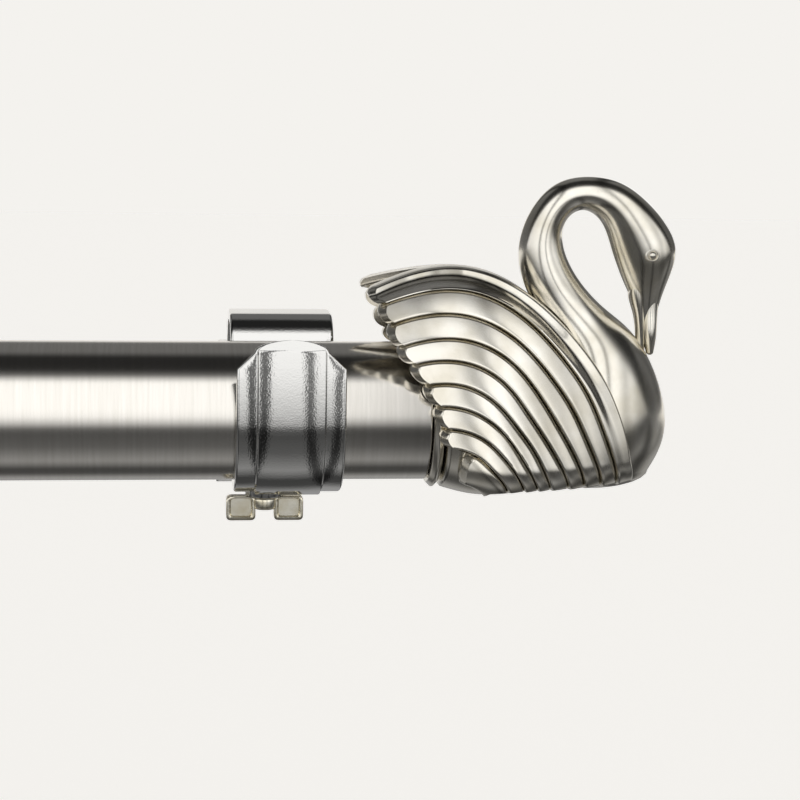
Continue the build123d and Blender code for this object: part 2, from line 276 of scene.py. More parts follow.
# Turns the profile's (along, radius) points about an axis. A profile that ends as it starts makes a ring.
def turned(work, profile, origin, along="X", count=96):
    closed = profile[0] == profile[-1]
    points, rows = [], []
    for place, radius in profile[:-1] if closed else profile:
        row = []
        for step in range(1 if radius < 1e-9 else count):
            turn = 2 * math.pi * step / count
            a, b = radius * math.cos(turn), radius * math.sin(turn)
            row.append(len(points))
            local = {"X": (place, a, b), "Y": (a, -place, b), "Z": (a, b, place)}[along]
            points.append(origin + Vector(local))
        rows.append(row)
    faces = []
    pairs = list(zip(rows, rows[1:])) + ([(rows[-1], rows[0])] if closed else [])
    for first, second in pairs:
        for step in range(count):
            after = (step + 1) % count
            corners = [first[step % len(first)], first[after % len(first)],
                       second[after % len(second)], second[step % len(second)]]
            corners = [corner for index, corner in enumerate(corners) if corner not in corners[:index]]
            if len(corners) > 2:
                faces.append(corners)
    addMesh(work, points, faces)


# A profile corner rounded into an arc
def rounded(corners, radius, steps=4):
    path = []
    count = len(corners)
    for index, corner in enumerate(corners):
        here = np.array(corner, float)
        before = np.array(corners[index - 1], float) - here
        after = np.array(corners[(index + 1) % count], float) - here
        reach = min(radius, 0.49 * np.hypot(*before), 0.49 * np.hypot(*after))
        first = here + before / np.hypot(*before) * reach
        last = here + after / np.hypot(*after) * reach
        for step in range(steps + 1):
            t = step / steps
            path.append(tuple(first * (1 - t) ** 2 + here * 2 * t * (1 - t) + last * t**2))
    return path


def smoothCurve(stations, values, samples):
    t = np.asarray(stations, float)
    y = np.asarray(values, float)
    n = len(t)
    h = np.diff(t)
    matrix = np.zeros((n, n))
    right = np.zeros((n,) + y.shape[1:])
    matrix[0, 0] = matrix[-1, -1] = 1.0
    for i in range(1, n - 1):
        matrix[i, i - 1], matrix[i, i], matrix[i, i + 1] = h[i - 1], 2 * (h[i - 1] + h[i]), h[i]
        right[i] = 6 * ((y[i + 1] - y[i]) / h[i] - (y[i] - y[i - 1]) / h[i - 1])
    bend = np.linalg.solve(matrix, right)
    s = np.asarray(samples, float)
    i = np.clip(np.searchsorted(t, s) - 1, 0, n - 2)
    a, b, gap = t[i + 1] - s, s - t[i], h[i]
    if y.ndim > 1:
        a, b, gap = a[:, None], b[:, None], gap[:, None]
    curved = (bend[i] * a**3 + bend[i + 1] * b**3) / (6 * gap)
    return curved + (y[i] / gap - bend[i] * gap / 6) * a + (y[i + 1] / gap - bend[i + 1] * gap / 6) * b


# Geometry Nodes tool: a cross-section follows a path. Each path point carries its own side and outward
# directions, the half-width that cuts the section off, and how far the section's raised panel stands up.
def sweepTree():
    tree = bpy.data.node_groups.new("stripAlongPath", "GeometryNodeTree")
    for name, kind in (("Path", "Geometry"), ("Section", "Object"), ("Finish", "Material"),
                       ("Flat Half", "Float")):
        tree.interface.new_socket(name, in_out="INPUT", socket_type="NodeSocket" + kind)
    tree.interface.new_socket("Strip", in_out="OUTPUT", socket_type="NodeSocketGeometry")
    start = addNode(tree, "NodeGroupInput")
    end = addNode(tree, "NodeGroupOutput")
    where = addNode(tree, "GeometryNodeInputPosition")
    path = addNode(tree, "GeometryNodeMeshToCurve", links={"Mesh": start.outputs["Path"]})
    section = addNode(tree, "GeometryNodeObjectInfo", links={"Object": start.outputs["Section"]})
    loop = addNode(tree, "GeometryNodeMeshToCurve", links={"Mesh": section.outputs["Geometry"]})
    kept = []
    for name, curve in (("sectionPlace", loop), ("pathPlace", path)):
        kept.append(addNode(tree, "GeometryNodeStoreNamedAttribute",
                            {"data_type": "FLOAT_VECTOR", "domain": "POINT"}, {"Name": name},
                            {"Geometry": curve, "Value": where}))
    swept = addNode(tree, "GeometryNodeCurveToMesh", None, {"Fill Caps": True},
                    {"Curve": kept[1], "Profile Curve": kept[0]})
    read = {}
    for name, kind in (("sectionPlace", "FLOAT_VECTOR"), ("pathPlace", "FLOAT_VECTOR"),
                       ("sideways", "FLOAT_VECTOR"), ("outward", "FLOAT_VECTOR"),
                       ("narrowing", "FLOAT"), ("panelRise", "FLOAT")):
        read[name] = addNode(tree, "GeometryNodeInputNamedAttribute", {"data_type": kind}, {"Name": name})
    parts = addNode(tree, "ShaderNodeSeparateXYZ", links={"Vector": read["sectionPlace"]})
    size = addNode(tree, "ShaderNodeMath", {"operation": "ABSOLUTE"}, links={0: parts.outputs["X"]})
    way = addNode(tree, "ShaderNodeMath", {"operation": "SIGN"}, links={0: parts.outputs["X"]})
    outer = addNode(tree, "ShaderNodeMath", {"operation": "MAXIMUM"},
                    links={0: size, 1: start.outputs["Flat Half"]})
    drawn = addNode(tree, "ShaderNodeMath", {"operation": "SUBTRACT"},
                    links={0: outer, 1: read["narrowing"]})
    least = addNode(tree, "ShaderNodeMath", {"operation": "MINIMUM"}, links={0: size, 1: drawn})
    across = addNode(tree, "ShaderNodeMath", {"operation": "MULTIPLY"}, links={0: least, 1: way})
    panel = addNode(tree, "ShaderNodeMath", {"operation": "MULTIPLY_ADD"},
                    links={0: parts.outputs["Z"], 1: read["panelRise"], 2: parts.outputs["Y"]})
    sideStep = addNode(tree, "ShaderNodeVectorMath", {"operation": "SCALE"},
                       links={"Vector": read["sideways"], "Scale": across})
    outStep = addNode(tree, "ShaderNodeVectorMath", {"operation": "SCALE"},
                      links={"Vector": read["outward"], "Scale": panel})
    half = addNode(tree, "ShaderNodeVectorMath", {"operation": "ADD"},
                   links={0: read["pathPlace"], 1: sideStep})
    whole = addNode(tree, "ShaderNodeVectorMath", {"operation": "ADD"}, links={0: half, 1: outStep})
    moved = addNode(tree, "GeometryNodeSetPosition", links={"Geometry": swept, "Position": whole})
    real = addNode(tree, "GeometryNodeRealizeInstances", links={"Geometry": moved})
    coated = addNode(tree, "GeometryNodeSetMaterial",
                     links={"Geometry": real, "Material": start.outputs["Finish"]})
    feed(tree, end, {"Strip": coated})
    return tree


stripTool = sweepTree()


# Runs the tool on one path, a list of dict(place, side, out, narrowing, rise), and puts the strip into work
def sweepInto(work, path, section, flatHalf, slotName):
    guideMesh = bpy.data.meshes.new("pathGuide")
    links = [(i, i + 1) for i in range(len(path) - 1)]
    guideMesh.from_pydata([tuple(step["place"]) for step in path], links, [])
    for label, kind, key in (("sideways", "FLOAT_VECTOR", "side"), ("outward", "FLOAT_VECTOR", "out"),
                             ("narrowing", "FLOAT", "narrowing"), ("panelRise", "FLOAT", "rise")):
        data = np.array([np.ravel(step[key]) for step in path], np.float32).ravel()
        target = guideMesh.attributes.new(label, kind, "POINT").data
        target.foreach_set("vector" if kind == "FLOAT_VECTOR" else "value", data)
    guide = bpy.data.objects.new("pathGuide", guideMesh)
    loopMesh = bpy.data.meshes.new("sectionLoop")
    loopMesh.from_pydata(section, [(i, (i + 1) % len(section)) for i in range(len(section))], [])
    loop = bpy.data.objects.new("sectionLoop", loopMesh)
    collection.objects.link(guide)
    collection.objects.link(loop)
    modifier = guide.modifiers.new("strip", "NODES")
    modifier.node_group = stripTool
    wanted = {"Section": loop, "Finish": finishes[slotName], "Flat Half": flatHalf}
    for socket in stripTool.interface.items_tree:
        if socket.in_out == "INPUT" and socket.name in wanted:
            modifier[socket.identifier] = wanted[socket.name]
    graph = bpy.context.evaluated_depsgraph_get()
    result = bpy.data.meshes.new_from_object(guide.evaluated_get(graph))
    guide.modifiers.clear()
    bpy.data.objects.remove(guide)
    bpy.data.objects.remove(loop)
    corners = [tuple(vertex.co) for vertex in result.vertices]
    addMesh(work, corners, [tuple(face.vertices) for face in result.polygons])
    bpy.data.meshes.remove(result)


# Rods: drawn tubes with rolled ends
tubes = dict(wall=0.8, endRound=0.35, count=128, smoothAngle=35.0)
tubeBodies = {
    "front_outer_tube": "mounted_rods", "rear_outer_tube": "mounted_rods",
    "front_inner_tube": "front_inner_rod", "rear_inner_tube": "rear_inner_rod",
}


def makeTube(node, body):
    tube = tubeOf(node)
    outer = tube["radius"]
    inner = outer - tubes["wall"] * mm
    corners = [(tube["start"], inner), (tube["start"], outer), (tube["end"], outer), (tube["end"], inner)]
    profile = rounded(corners, tubes["endRound"] * mm)
    work = bmesh.new()
    turned(work, profile + profile[:1], tube["axis"], "X", tubes["count"])
    replaceNode(finishMesh(node.replace("_tube", "Tube"), work, "rod", tubes["smoothAngle"]), node, body)


for tubeNode, tubeBody in tubeBodies.items():
    makeTube(tubeNode, tubeBody)
print("tubes made")

# Brackets: one stamped strap each, the numbers as in the solids, in mm. The leg's top leans back and ends in
# a low arch, and the bosses under the cradles are tapped for the wing screws.
bracket = dict(width=19.5, thickness=2.2, edgeRound=0.55, panelWidth=11.5, panelRise=0.6, panelSlope=0.5,
               seatGap=0.02, frontCup=13.2, rearCup=8.4, crestHeight=15.1, crestFlat=6.0, crestBend=5.4,
               legTop=15.05, legCorner=10.0, legShoulder=(6.6, 12.9), legLean=1.1,
               legTopSteps=(0.0, 0.04, 0.12, 0.25, 0.38, 0.5), legArchCount=14, legCount=6, degreesPerStep=4,
               mmPerStep=1.5, wallRun=-2.1, wallBend=4.0, holeHeights=(-12.5, -28.5), holeRadius=2.4,
               holeReach=4.0, tabBottom=-34.5, screwOffset=-3.8, screwBore=2.0, screwReach=3.2,
               screwDepth=1.5, bossRadius=3.6, bossDrop=0.35, bossTop=0.9, bossRound=0.3, roundCount=48,
               smoothAngle=35.0)


def strapMoves():
    b = bracket
    front, rear = frontTube["axis"], rearTube["axis"]
    fx, rx, axisZ = front.y / mm, rear.y / mm, front.z / mm
    floor = axisZ - frontTube["radius"] / mm - b["seatGap"]
    half = b["thickness"] / 2
    midFront, midRear = b["frontCup"] + half, b["rearCup"] + half
    cupFront, cupRear = floor + b["frontCup"], floor + b["rearCup"]
    crest = axisZ + b["crestHeight"] - half
    run = axisZ + b["wallRun"]
    bendY = fx + midFront + b["crestBend"] + b["crestFlat"]
    across, down = rx - bendY, cupRear - (crest - b["crestBend"])
    reach = math.hypot(across, down)
    both = b["crestBend"] + midRear
    slope = math.degrees(math.atan2(-down, across)) + math.degrees(math.asin(both / reach))
    rise = math.degrees(math.acos((cupRear + b["wallBend"] - run) / (midRear + b["wallBend"])))
    wallStart = rx + (midRear + b["wallBend"]) * math.sin(math.radians(rise))
    cradle = [(axisZ + b["legTop"] - cupFront, 0, 0), (0, midFront, 180),
              (crest - b["crestBend"] - cupFront, 0, 0)]
    rest = [(0, b["crestBend"], -90), (b["crestFlat"], 0, 0), (0, b["crestBend"], -slope),
            (math.sqrt(reach**2 - both**2), 0, 0), (0, midRear, slope + rise), (0, b["wallBend"], -rise),
            (-half - b["wallBend"] - wallStart, 0, 0), (0, b["wallBend"], -90),
            (run - b["wallBend"] - axisZ - b["tabBottom"], 0, 0)]
    return (fx - midFront, axisZ + b["legTop"]), cradle, rest, floor


# The leg's top is cut to a low arch: the strap's half-width at a height above the rod's axis
def legWidth(height):
    b = bracket
    full = b["width"] / 2
    shoulder, shoulderHeight = b["legShoulder"]
    if height <= b["legCorner"]:
        return full
    if height <= shoulderHeight:
        return full + (shoulder - full) * (height - b["legCorner"]) / (shoulderHeight - b["legCorner"])
    arch = (height - shoulderHeight) / (b["legTop"] - shoulderHeight)
    return shoulder * math.sqrt(max(0.0, 1 - arch**2))


def strapPath(centreX):
    b = bracket
    place, cradle, rest, floor = strapMoves()
    y, z = place
    heading, path = -90.0, []

    def note(rise, width):
        turn = math.radians(heading)
        path.append(dict(place=Vector((centreX, y * mm, z * mm)), side=Vector((1, 0, 0)),
                         out=Vector((0, math.sin(turn), -math.cos(turn))),
                         narrowing=(b["width"] / 2 - width) * mm, rise=rise * mm))

    legEnd = z - cradle[0][0]
    arch = list(np.linspace(b["legTopSteps"][-1], b["legTop"] - b["legCorner"], b["legArchCount"])[1:])
    straight = list(np.linspace(arch[-1], cradle[0][0], b["legCount"])[1:])
    for drop in list(b["legTopSteps"]) + arch + straight:
        z = place[1] - drop
        height = b["legTop"] - drop
        part = max(0.0, height) / b["legTop"]
        y = place[0] + b["legLean"] * part**2
        heading = -90.0 - math.degrees(math.atan(2 * b["legLean"] * part / b["legTop"]))
        note(b["panelRise"], max(b["edgeRound"], legWidth(height)))
    y, heading = place[0], -90.0
    z = legEnd
    for index, (length, radius, swing) in enumerate(cradle[1:] + rest):
        onPanel = index < len(cradle) - 1
        steps = max(3, int(length / b["mmPerStep"]))
        if radius:
            steps = max(2, int(abs(swing) / b["degreesPerStep"]))
        startY, startZ, startHeading = y, z, heading
        for step in range(1, steps + 1):
            part = step / steps
            if radius:
                way = 1 if swing > 0 else -1
                heading = startHeading + swing * part
                first, now = math.radians(startHeading), math.radians(heading)
                y = startY + way * radius * (math.sin(now) - math.sin(first))
                z = startZ - way * radius * (math.cos(now) - math.cos(first))
            else:
                way = math.radians(heading)
                y = startY + length * part * math.cos(way)
                z = startZ + length * part * math.sin(way)
            note(b["panelRise"] if onPanel else 0.0, b["width"] / 2)
    return path, floor


# The strap's cross-section: rounded edges, and the panel's sloping borders. Z says how much of the panel's
# rise each point takes.
def strapSection():
    edge, half = bracket["width"] / 2, bracket["thickness"] / 2
    panel, slope = bracket["panelWidth"] / 2, bracket["panelSlope"]
    outline = rounded([(-edge, -half), (edge, -half), (edge, half), (-edge, half)], bracket["edgeRound"], 4)
    steps = [(panel + slope, 0.0), (panel + slope * 0.7, 0.12), (panel + slope * 0.3, 0.88), (panel, 1.0)]
    border = steps + [(-x, mark) for x, mark in reversed(steps)]

    def corner(sideX, sideY):
        return [(x, y, 0.0) for x, y in outline if x * sideX > 0 and y * sideY > 0]

    loop = corner(-1, -1) + [(x, -half, mark) for x, mark in reversed(border)]
    loop += corner(1, -1) + corner(1, 1) + [(x, half, mark) for x, mark in border] + corner(-1, 1)
    return [(x * mm, y * mm, mark) for x, y, mark in loop]


def addDrill(cutter, place, radius, along, depth):
    profile = [(-depth, 0.0), (-depth, radius), (depth, radius), (depth, 0.0)]
    turned(cutter, profile, place, along, bracket["roundCount"])


# Cuts the cutter's shapes out of the item, and gives back the rest as a mesh to work on
def cutAway(item, cutter):
    bmesh.ops.recalc_face_normals(cutter, faces=cutter.faces)
    cutMesh = bpy.data.meshes.new("drills")
    cutter.to_mesh(cutMesh)
    cutter.free()
    cut = bpy.data.objects.new("drills", cutMesh)
    collection.objects.link(cut)
    modifier = item.modifiers.new("holes", "BOOLEAN")
    modifier.operation = "DIFFERENCE"
    modifier.solver = "EXACT"
    modifier.object = cut
    graph = bpy.context.evaluated_depsgraph_get()
    holed = bpy.data.meshes.new_from_object(item.evaluated_get(graph))
    bpy.data.objects.remove(item)
    bpy.data.objects.remove(cut)
    work = bmesh.new()
    work.from_mesh(holed)
    bpy.data.meshes.remove(holed)
    return work


def makeBracket(side):
    b = bracket
    name, node = side + "Bracket", side + "_bracket"
    low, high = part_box(node)
    centreX = (low.x + high.x) / 2
    screwX = centreX + b["screwOffset"] * mm
    path, floor = strapPath(centreX)
    work = bmesh.new()
    sweepInto(work, path, strapSection(), (b["width"] / 2 - b["edgeRound"]) * mm, "bracket")
    strap = finishMesh(name, work, "bracket", b["smoothAngle"])
    cutter = bmesh.new()
    for height in b["holeHeights"]:
        place = Vector((centreX, -b["thickness"] / 2 * mm, frontTube["axis"].z + height * mm))
        addDrill(cutter, place, b["holeRadius"] * mm, "Y", b["holeReach"] * mm)
    for tube in (frontTube, rearTube):
        place = Vector((screwX, tube["axis"].y, (floor - b["screwDepth"]) * mm))
        addDrill(cutter, place, b["screwBore"] * mm, "Z", b["screwReach"] * mm)
    work = cutAway(strap, cutter)
    bossLow = (floor - b["thickness"] - b["panelRise"] - b["bossDrop"]) * mm
    bossHigh = (floor - b["bossTop"]) * mm
    bore, wall = b["screwBore"] * mm, b["bossRadius"] * mm
    ring = rounded([(bossLow, bore), (bossLow, wall), (bossHigh, wall), (bossHigh, bore)],
                   b["bossRound"] * mm, 3)
    for tube in (frontTube, rearTube):
        turned(work, ring + ring[:1], Vector((screwX, tube["axis"].y, 0)), "Z", b["roundCount"])
    replaceNode(finishMesh(name, work, "bracket", b["smoothAngle"]), node, "mounted_rods")


makeBracket("left")
makeBracket("right")
print("brackets made")

# Wing screws, in mm: a die-cast head with two rimmed ears, a bridge and a hub, and a short threaded shank
wingScrew = dict(
    span=7.1, height=4.5, thickness=2.6, notch=1.7, edge=0.3, earRound=0.9,
    rim=0.85, upperRim=0.425, recess=0.4, recessRound=0.63, rimSteps=((0.2, 0.12), (0.35, 0.0)),
    bridgeHeight=1.6, bridgeOver=0.8, bridgeRound=0.4, bridgeSteps=((0.2, 0.9), (0.4, 1.0)),
    hub=2.4, hubHeight=2.4, hubRound=0.7, hubEye=0.4,
    shank=1.72, shankSunk=0.5, shankTip=0.4, thread=1.94, threadGap=0.4, pitch=0.7,
    hubCount=48, shankCount=40,
)


# One ear: its outline in XZ with rounded corners, thickened along Y, and both faces sunk inside a rim
def earBlock(work, low, high):
    w = wingScrew
    outline = rounded([(low[0], low[2]), (high[0], low[2]), (high[0], high[2]), (low[0], high[2])],
                      w["earRound"], 4)
    left, right = low[0] + w["rim"], high[0] - w["rim"]
    bottom, top = low[2] + w["rim"], high[2] - w["upperRim"]
    inner = rounded([(left, bottom), (right, bottom), (right, top), (left, top)], w["recessRound"], 4)
    centre = ((low[0] + high[0]) / 2, (low[2] + high[2]) / 2)

    def towards(points, amount):
        moved = []
        for x, z in points:
            dx, dz = centre[0] - x, centre[1] - z
            size = math.hypot(dx, dz)
            moved.append((x + dx / size * amount, z + dz / size * amount))
        return moved

    face, soft = low[1], w["edge"]
    layers = [(inner, face + w["recess"])]
    layers += [(towards(inner, -out), face + sunk) for out, sunk in w["rimSteps"]]
    layers += [(towards(outline, soft), face), (towards(outline, soft * 0.3), face + soft * 0.3),
               (outline, face + soft)]
    mirrored = [(points, low[1] + high[1] - y) for points, y in reversed(layers)]
    rings = [[(x, y, z) for x, z in points] for points, y in layers + mirrored]
    addMesh(work, *ringLoft(rings))


# A rolled thread's shape in shares of its pitch and its height, and how many steps a turn and a run-out take
threadShape = dict(foot=0.42, crest=0.08, sunk=0.4, perTurn=20, runOut=12, least=0.05)


def helixThread(work, radius, coreRadius, start, end, pitch, along, origin, slotName):
    shape = threadShape
    turns = (end - start) / pitch
    steps = int(turns * shape["perTurn"])
    path = []
    for step in range(steps + 1):
        turn = 2 * math.pi * turns * step / steps
        place = start + (end - start) * step / steps
        a, b = math.cos(turn), math.sin(turn)
        out = Vector((0, a, b)) if along == "X" else Vector((a, b, 0))
        side = Vector((1, 0, 0)) if along == "X" else Vector((0, 0, 1))
        fade = max(shape["least"], min(1.0, step / shape["runOut"], (steps - step) / shape["runOut"]))
        path.append(dict(place=origin + side * place + out * coreRadius, side=side, out=out * fade,
                         narrowing=0.0, rise=0.0))
    height = radius - coreRadius
    foot, crest, sunk = pitch * shape["foot"], pitch * shape["crest"], height * shape["sunk"]
    section = [(-foot, -sunk, 0.0), (foot, -sunk, 0.0), (crest, height, 0.0), (-crest, height, 0.0)]
    sweepInto(work, path, section, radius, slotName)


def makeWingScrew(node, body):
    w = wingScrew
    low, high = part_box(node)
    origin = Vector(((low.x + high.x) / 2, (low.y + high.y) / 2, 0))
    bottom, top = low.z / mm, high.z / mm
    wingTop, half = bottom + w["height"], w["thickness"] / 2
    work = bmesh.new()
    for side in (-1, 1):
        near, far = sorted((side * w["notch"], side * w["span"]))
        earBlock(work, (near, -half, bottom), (far, half, wingTop))
    # The bridge over the notch
    reach, depth = w["notch"] + w["bridgeOver"], w["bridgeHeight"]
    bridge = [(-reach, wingTop - depth), (reach, wingTop - depth), (reach, wingTop), (-reach, wingTop)]
    outline = rounded(bridge, w["bridgeRound"], 3)
    middle = wingTop - depth / 2
    layers = [(-half + inset, shrink) for inset, shrink in w["bridgeSteps"]]
    layers += [(-y, shrink) for y, shrink in reversed(layers)]
    rings = [[(x * shrink, y, middle + (z - middle) * shrink) for x, z in outline] for y, shrink in layers]
    addMesh(work, *ringLoft(rings))
    for vertex in work.verts:
        vertex.co = origin + vertex.co * mm
    hubFoot = wingTop - w["hubHeight"]
    hub = [(hubFoot, 0.0), (hubFoot, w["hub"]), (wingTop, w["hub"]), (wingTop, 0.0)]
    hub = [(z * mm, radius * mm) for z, radius in rounded(hub, w["hubRound"], 4) if radius > w["hubEye"]]
    turned(work, [(hubFoot * mm, 0.0)] + hub + [(wingTop * mm, 0.0)], origin, "Z", w["hubCount"])
    foot, core = (wingTop - w["shankSunk"]) * mm, w["shank"] * mm
    shank = [(foot, 0.0), (foot, core), ((top - w["shankTip"]) * mm, core),
             (top * mm, core - w["shankTip"] * mm), (top * mm, 0.0)]
    turned(work, shank, origin, "Z", w["shankCount"])
    helixThread(work, w["thread"] * mm, core, (wingTop + w["threadGap"]) * mm, (top - w["threadGap"]) * mm,
                w["pitch"] * mm, "Z", origin, "wing_screw")
    side, rod = node.split("_")[:2]
    replaceNode(finishMesh(side + rod.capitalize() + "WingScrew", work, "wing_screw"), node, body)


for screwSide in ("left", "right"):
    for rodName in ("front", "rear"):
        makeWingScrew(f"{screwSide}_{rodName}_wing_screw", f"{screwSide}_{rodName}_screw")
print("wing screws made")

# Studs between the plugs and the swans, with a real thread
stud = dict(core=2.55, radius=2.98, pitch=1.0, chamfer=0.5, count=40)


def makeStud(node, body):
    tube = tubeOf(node)
    work = bmesh.new()
    core, cut = stud["core"] * mm, stud["chamfer"] * mm
    start, end = tube["start"], tube["end"]
    profile = [(start, 0.0), (start, core - cut), (start + cut, core), (end - cut, core), (end, core - cut),
               (end, 0.0)]
    turned(work, profile, tube["axis"], "X", stud["count"])
    pitch = stud["pitch"] * mm
    helixThread(work, stud["radius"] * mm, core, start + pitch, end - pitch, pitch, "X", tube["axis"], "stud")
    replaceNode(finishMesh(node.split("_")[0] + "Stud", work, "stud"), node, body)


makeStud("right_finial_stud", "mounted_rods")
makeStud("left_finial_stud", "front_inner_rod")
print("studs made")

# Swan, in mm from the centre of the rod's end: X away from the rod, Z up, the wing facing the room at minus Y
swan = dict(
    # The wing's surface: widest in the middle, rounding in at the breast, the belly and over the back
    fanRoot=(3.3, -18.4), halfWidth=16.2, breastFrom=8.0, breastReach=40.0, bellyFrom=-7.5, bellyReach=9.4,
    tailStart=-20.0, tailReach=22.0, tailLean=0.3, leanStart=-6.0, lean=0.0071,
    thickness=3.4, rodClearance=13.2, rodEnd=0.4, innerLeast=-0.2, pocketSkin=0.8, leastSkin=0.5,
    # Where the lines between feathers end, in degrees of the fan, and how the tips are rounded
    tipAngles=(96.0, 96.0, 97.0, 99.5, 102.5, 105.5, 108.0, 108.5, 109.0, 109.8), leafTip=80.0,
    tipAngle=104.0, tipRound=1.3, tipPower=2.2, tipReach=0.5, tipSlope=1.3, tipDrop=1.7,
    tipSteps=(0, 0.15, 0.4, 0.7, 1.0, 1.25), tipLeastRadius=15.0, turnLeastRadius=12.0, rootMostSine=0.6,
    rootDepth=5.6, alongFeather=120, alongPower=1.15, sinkFrom=0.975, sinkDepth=2.2,
    # Across one feather
    acrossFeather=(0.0, 0.015, 0.04, 0.08, 0.13, 0.2, 0.29, 0.39, 0.5, 0.61, 0.7, 0.78, 0.85, 0.91,
                   0.95, 0.985),
    edgeHeight=1.0, edgeRound=0.13, grooveDepth=0.75, grooveWidth=0.085, leafBulge=0.8,
    shoulderHeight=1.0, shoulderTaper=0.5, curlStart=0.1, curlEnd=0.54, edgeStart=0.91, edgeFall=0.9,
    fallPower=1.3, groovePower=1.5,
    # Body, collar and eyes
    roundCount=72, capCount=8, capTurn=1.53, neckPinch=0.16, pinchPower=1.5, smoothAngle=48.0,
    collarGap=0.25, collarBore=13.25, collarRadius=14.2, collarThickness=2.2, collarStep=0.5,
    collarInner=11.0, collarRound=0.25, studHole=3.05, studWall=12.0,
    eyePlace=(40.8, 4.3, 29.6), eyeRadius=1.15, eyeBall=0.83, eyeCount=32, lidRadius=0.24, lidLift=0.1,
    lidSquash=0.85, lidCount=32, lidSides=10,
)
# Radii of the lines between feathers, from the leaf's lower edge out to the shoulder, one row per fan angle
featherLines = {
    18: (8.0, 12.1, 14.9, 17.2, 19.5, 22.8, 25.7, 28.9, 32.0, 35.4),
    31: (8.0, 12.1, 14.9, 17.2, 19.5, 22.6, 25.7, 29.0, 32.5, 36.8),
    44: (8.0, 12.3, 15.2, 17.6, 20.2, 23.1, 26.4, 30.3, 34.2, 38.6),
    58: (8.0, 12.8, 15.9, 18.9, 21.5, 24.8, 28.6, 32.5, 36.5, 40.9),
    72: (8.0, 13.7, 17.0, 20.4, 23.8, 27.8, 31.7, 35.6, 39.7, 43.8),
    86: (8.0, 14.3, 17.7, 21.6, 25.6, 29.7, 33.6, 37.8, 42.0, 45.4),
    100: (8.0, 14.7, 18.1, 22.1, 26.1, 30.1, 33.8, 38.1, 42.0, 44.9),
    114: (8.0, 14.9, 18.2, 22.2, 26.2, 30.0, 33.6, 37.8, 41.8, 44.4),
}
# Torso, breast with neck and head, beak, throat: X, Z, heading in degrees, half-size in the bird's plane,
# half across
torsoSections = (
    (3.0, -0.8, 0, 13.3, 13.1), (8.0, -1.2, 0, 14.2, 13.8), (17.0, -0.8, 0, 14.6, 13.6),
    (29.0, -0.8, 0, 12.0, 10.0),
)
neckSections = (
    (31.2, -11.0, 90, 11.4, 10.0), (31.6, -7.0, 90, 13.0, 11.6), (31.8, -2.0, 93, 13.7, 12.2),
    (31.4, 4.0, 104, 12.3, 11.4), (30.3, 9.5, 122, 9.8, 9.2), (28.8, 14.6, 127, 6.6, 6.6),
    (26.0, 19.4, 122, 5.0, 5.0), (22.3, 25.3, 110, 4.6, 4.5), (20.9, 30.6, 94, 4.1, 4.1),
    (22.2, 36.3, 64, 3.3, 3.7), (25.2, 39.5, 28, 3.1, 3.5), (28.9, 40.4, -3, 3.05, 3.5),
    (33.4, 39.0, -25, 3.85, 3.9), (36.9, 35.6, -45, 4.85, 4.4), (39.4, 31.9, -60, 5.6, 4.6),
    (41.0, 27.8, -70, 5.5, 4.4), (41.1, 24.3, -78, 4.2, 3.4), (41.1, 21.2, -84, 2.9, 2.2),
    (41.2, 18.4, -87, 2.1, 1.3), (41.4, 15.5, -87, 1.5, 0.9),
)
beakSections = (
    (41.6, 26.0, -82, 1.2, 1.6), (42.0, 22.0, -86, 1.4, 1.7), (41.95, 18.0, -88, 1.4, 1.8),
    (41.95, 14.0, -88, 1.3, 2.0), (42.15, 11.2, -86, 0.75, 1.2),
)
throatSections = (
    (38.9, 26.0, -72, 1.0, 1.8), (39.0, 22.5, -76, 1.5, 2.2), (39.7, 18.5, -82, 1.1, 1.85),
    (40.15, 14.5, -87, 0.9, 1.3), (40.4, 10.5, -90, 0.7, 0.8),
)
swanLofts = (
    dict(sections=torsoSections, rings=40, startCap=1.0, endCap=4.0),
    dict(sections=neckSections, rings=170, startCap=3.2, endCap=1.5, pinch=swan["neckPinch"]),
    dict(sections=beakSections, rings=24, startCap=1.0, endCap=0.7),
    dict(sections=throatSections, rings=24, startCap=1.0, endCap=0.5),
)


# A loft through elliptical sections with a round cap of the given depth at its start and its end. The pinch
# narrows the side that faces into the neck's curve.
def birdLoft(work, sections, rings, startCap, endCap, pinch=0.0):
    data = np.array(sections, float)
    steps = np.hypot(np.diff(data[:, 0]), np.diff(data[:, 1]))
    stations = np.concatenate([[0], np.cumsum(steps)])
    dense = list(smoothCurve(stations, data, np.linspace(0, stations[-1], rings)))
    for row, depth, before in ((dense[0], -startCap, True), (dense[-1], endCap, False)):
        heading = math.radians(row[2])
        for lap in np.linspace(0, swan["capTurn"], swan["capCount"] + 1)[1:]:
            ahead, size = depth * math.sin(lap), math.cos(lap)
            extra = np.array([row[0] + ahead * math.cos(heading), row[1] + ahead * math.sin(heading),
                              row[2], row[3] * size, row[4] * size])
            dense = [extra] + dense if before else dense + [extra]
    turns = np.linspace(0, 2 * math.pi, swan["roundCount"], endpoint=False)
    loops = []
    for x, z, heading, halfIn, halfAcross in dense:
        sideX, sideZ = -math.sin(math.radians(heading)), math.cos(math.radians(heading))
        loop = []
        for turn in turns:
            inward = halfIn * math.cos(turn)
            narrowed = 1 - pinch * max(0.0, -math.cos(turn)) ** swan["pinchPower"]
            loop.append((x + sideX * inward, halfAcross * math.sin(turn) * narrowed, z + sideZ * inward))
        loops.append(loop)
    addMesh(work, *ringLoft(loops))


def smoothStep(value):
    value = np.clip(value, 0.0, 1.0)
    return value * value * (3.0 - 2.0 * value)


